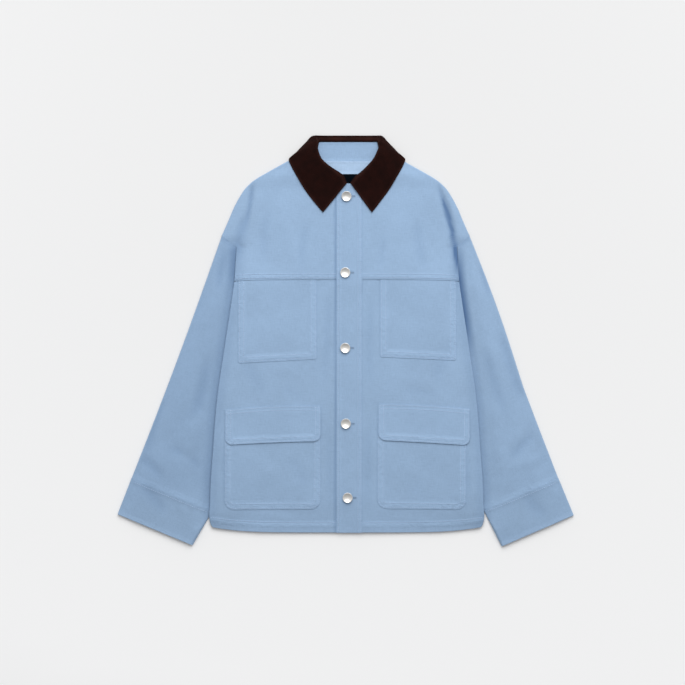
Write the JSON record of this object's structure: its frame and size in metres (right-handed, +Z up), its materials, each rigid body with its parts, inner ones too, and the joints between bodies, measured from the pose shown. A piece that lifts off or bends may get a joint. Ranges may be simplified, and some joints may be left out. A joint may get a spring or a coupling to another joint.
{
  "type": "chore jacket",
  "caption": "Blue canvas chore jacket laid flat, front up, with dark corduroy collar, metal buttons, flap pockets and deep cuffs.",
  "frame": {"origin": "middle of the jacket's outline, on the surface it lies on", "axes": "+X to the wearer's left across the jacket, +Y from the hem to the collar, +Z up from the surface"},
  "size_m": [0.845, 0.761, 0.016],
  "materials": {
    "canvas": "matte cotton canvas",
    "facing_cloth": "matte lighter canvas",
    "corduroy": "fine dark brown corduroy",
    "lining": "near-black smooth lining",
    "metal": "bright dished metal"
  },
  "bodies": {
    "root": {"back": "canvas", "front_right": "canvas", "front_left": "canvas", "yoke_right": "canvas", "yoke_left": "canvas", "sleeve_right": "canvas", "cuff_right": "canvas", "sleeve_left": "canvas", "cuff_left": "canvas", "collar_stand": "canvas", "chest_pocket_right": "canvas", "chest_pocket_left": "canvas", "hip_pocket_right": "canvas", "hip_pocket_left": "canvas", "pocket_flap_right": "canvas", "pocket_flap_left": "canvas", "placket": "canvas", "back_neck_facing": "facing_cloth", "back_lining": "lining", "collar_fall": "corduroy", "button_1": "metal", "button_2": "metal", "button_3": "metal", "button_4": "metal", "button_5": "metal"}
  },
  "joints": []
}
